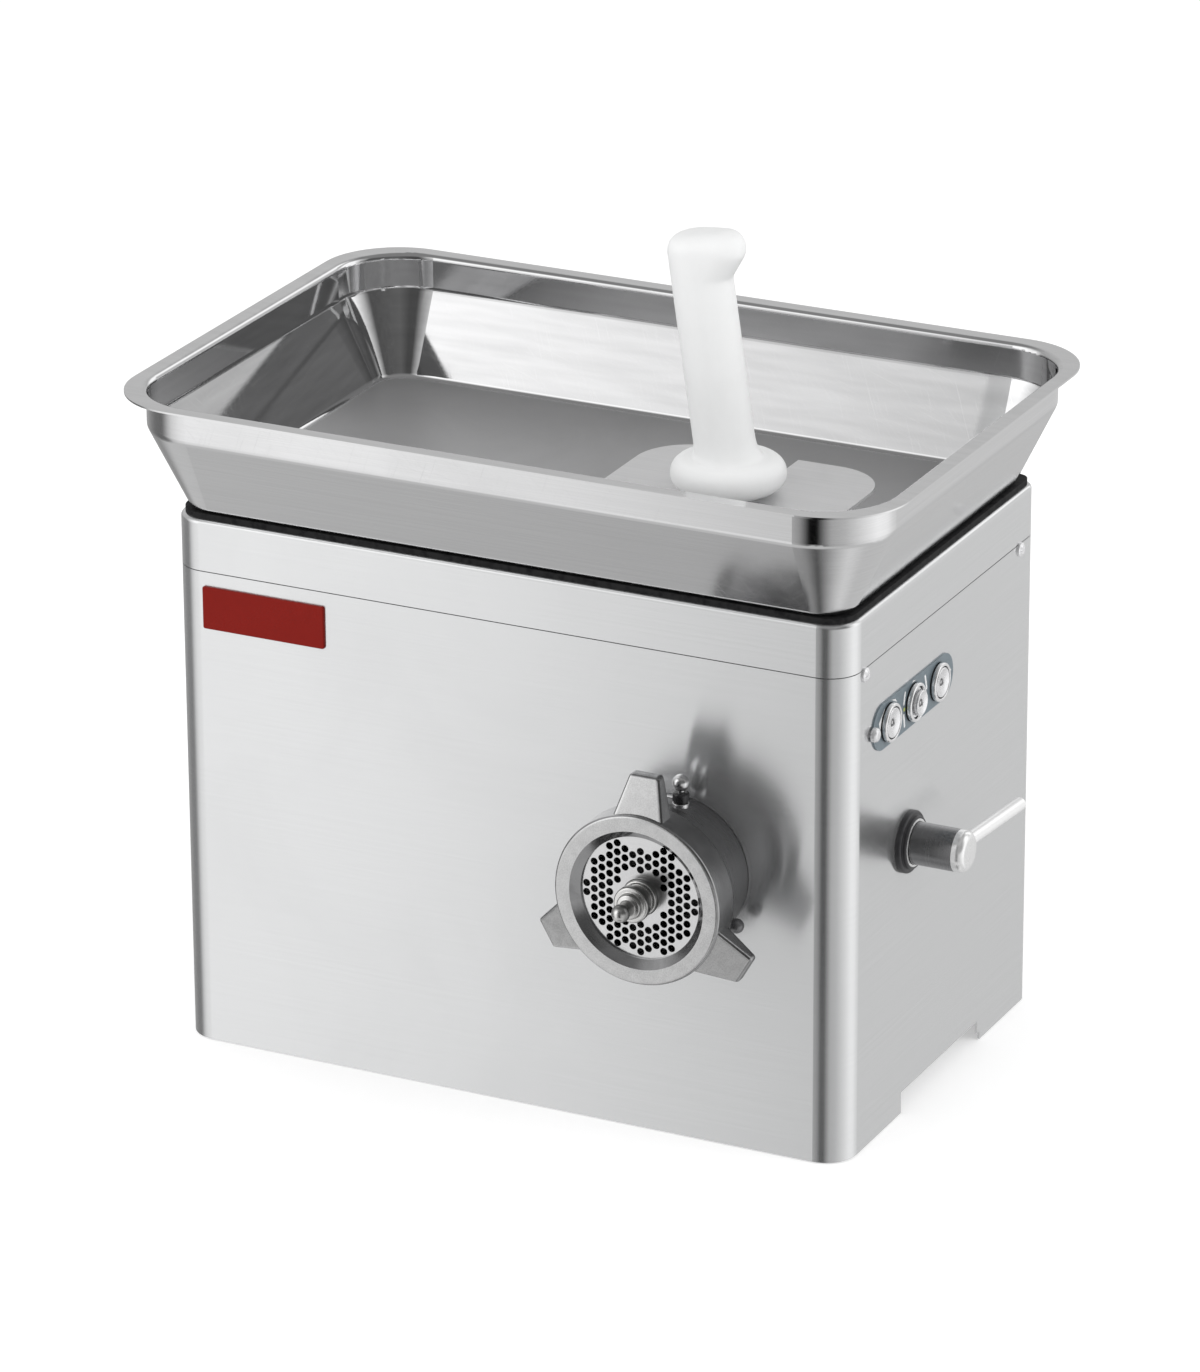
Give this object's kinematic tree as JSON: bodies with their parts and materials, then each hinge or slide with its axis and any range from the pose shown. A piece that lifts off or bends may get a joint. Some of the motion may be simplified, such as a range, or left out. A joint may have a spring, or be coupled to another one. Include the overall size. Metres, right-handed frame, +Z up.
{
  "type": "electric meat grinder",
  "caption": "Bench meat grinder: brushed steel casing with motor and gears, loading tray with guard and pusher on top, slide-out grinding head with winged ring nut, side clamp and buttons.",
  "frame": {"origin": "on the floor under the middle of the casing's footprint", "axes": "+X to the machine's right side with the buttons, +Y to the back, +Z up"},
  "size_m": [0.5737, 0.4342, 0.607],
  "materials": {
    "casing_steel": "brushed stainless sheet",
    "tray_steel": "polished stainless sheet",
    "guard_steel": "matt stainless",
    "cast_steel": "cast and machined stainless, fine grain",
    "barrel_steel": "turned stainless",
    "turned_steel": "turned and polished stainless",
    "knife_steel": "ground tool steel",
    "screw_steel": "bright zinc plate",
    "white_plastic": "white food plastic, soft gloss",
    "black_plastic": "black moulded plastic",
    "black_rubber": "black rubber",
    "red_badge": "deep red gloss plate, blank",
    "blue_grey_plate": "blue-grey anodised plate",
    "button_metal": "bright turned metal",
    "base_steel": "grey painted sheet",
    "cast_iron": "cast iron and laminated iron",
    "cast_aluminium": "sand-cast aluminium",
    "gear_steel": "machined and oiled steel",
    "pale_plastic": "pale moulded plastic"
  },
  "bodies": {
    "casing": {"casing_shell": "casing_steel", "back_panel": "casing_steel", "cable_gland": "black_plastic", "top_cover": "casing_steel", "cover_screws": "screw_steel", "back_screws": "screw_steel", "base_plate": "base_steel", "rubber_feet": "black_rubber", "badge": "red_badge", "tray_seal": "black_rubber", "throat_tube": "guard_steel", "head_sleeve": "cast_iron", "sleeve_bolts": "screw_steel", "lever_bush": "black_plastic", "button_plate": "blue_grey_plate", "plate_stud": "screw_steel", "button_bezels": "button_metal", "switch_blocks": "black_plastic", "output_bearings": "gear_steel", "oil_seal": "black_rubber", "layshaft_bearings": "gear_steel", "gearbox_housing": "cast_aluminium", "gearbox_cover": "cast_aluminium", "gearbox_bolts": "screw_steel", "gearbox_pedestal": "base_steel", "motor_housing": "cast_aluminium", "motor_stator": "cast_iron", "motor_bearings": "gear_steel", "motor_fan_cover": "base_steel", "control_plate": "base_steel", "contactor": "black_plastic", "terminal_block": "pale_plastic"},
    "tray": {"tray": "tray_steel", "throat_guard": "guard_steel", "guard_legs": "guard_steel"},
    "pusher": {"pusher": "white_plastic"},
    "head": {"head_barrel": "barrel_steel", "plate_key": "barrel_steel", "post_collar": "black_plastic", "post_ball": "turned_steel", "post_pin": "turned_steel", "barrel_studs": "barrel_steel"},
    "plate": {"perforated_plate": "turned_steel"},
    "ring": {"ring_nut": "cast_steel"},
    "auger": {"auger": "turned_steel", "auger_spindle": "turned_steel", "knife": "knife_steel"},
    "clamp_pad": {"clamp_pad": "turned_steel"},
    "clamp": {"clamp_screw": "turned_steel", "clamp_rod": "turned_steel"},
    "start_button": {"start_button": "button_metal"},
    "stop_button": {"stop_button": "button_metal"},
    "reverse_button": {"reverse_button": "button_metal"},
    "output": {"output_shaft": "gear_steel", "output_gear": "gear_steel"},
    "layshaft": {"layshaft": "gear_steel", "layshaft_gear": "gear_steel"},
    "rotor": {"rotor_shaft": "gear_steel", "motor_rotor": "cast_iron", "motor_fan": "pale_plastic"}
  },
  "joints": [
    {"name": "tray_lift", "type": "slide", "parent": "casing", "child": "tray", "axis": [0, 0, 1], "range_m": [0, 0.16]},
    {"name": "pusher_slide", "type": "slide", "parent": "tray", "child": "pusher", "axis": [0, 0, 1], "range_m": [0, 0.2]},
    {"name": "head_slide", "type": "slide", "parent": "casing", "child": "head", "axis": [0, -1, 0], "range_m": [0, 0.2]},
    {"name": "plate_slide", "type": "slide", "parent": "head", "child": "plate", "axis": [0, -1, 0], "range_m": [0, 0.0121]},
    {"name": "ring_turn", "type": "hinge", "parent": "plate", "child": "ring", "pos_m": [0.128, -0.2186, 0.1941], "axis": [0, -1, 0], "range_deg": [0, 1080]},
    {"name": "auger_spin", "type": "hinge", "parent": "head", "child": "auger", "pos_m": [0.128, -0.1, 0.1941], "axis": [0, -1, 0], "continuous": true},
    {"name": "rotor_spin", "type": "hinge", "parent": "casing", "child": "rotor", "pos_m": [-0.03375, -0.07, 0.16289], "axis": [0, -1, 0], "continuous": true},
    {"name": "layshaft_spin", "type": "hinge", "parent": "casing", "child": "layshaft", "pos_m": [0.04225, 0.03, 0.16289], "axis": [0, -1, 0], "continuous": true},
    {"name": "output_spin", "type": "hinge", "parent": "casing", "child": "output", "pos_m": [0.128, 0.03, 0.1941], "axis": [0, -1, 0], "continuous": true},
    {"name": "clamp_slide", "type": "slide", "parent": "casing", "child": "clamp_pad", "axis": [1, 0, 0], "range_m": [0, 0.0031]},
    {"name": "clamp_turn", "type": "hinge", "parent": "clamp_pad", "child": "clamp", "pos_m": [0.28, -0.055, 0.1956], "axis": [1, 0, 0], "range_deg": [0, 540]},
    {"name": "start_press", "type": "slide", "parent": "casing", "child": "start_button", "axis": [-1, 0, 0], "range_m": [0, 0.004], "stiffness_N_per_m": 500},
    {"name": "stop_press", "type": "slide", "parent": "casing", "child": "stop_button", "axis": [-1, 0, 0], "range_m": [0, 0.004], "stiffness_N_per_m": 500},
    {"name": "reverse_press", "type": "slide", "parent": "casing", "child": "reverse_button", "axis": [-1, 0, 0], "range_m": [0, 0.004], "stiffness_N_per_m": 500}
  ],
  "couplings": [
    {"joint": "plate_slide", "follows": "ring_turn", "m_per_rad": 0.00063662},
    {"joint": "clamp_slide", "follows": "clamp_turn", "m_per_rad": 0.00031831},
    {"joint": "layshaft_spin", "follows": "rotor_spin", "ratio": -0.26667},
    {"joint": "output_spin", "follows": "rotor_spin", "ratio": 0.080952},
    {"joint": "auger_spin", "follows": "rotor_spin", "ratio": 0.080952}
  ]
}
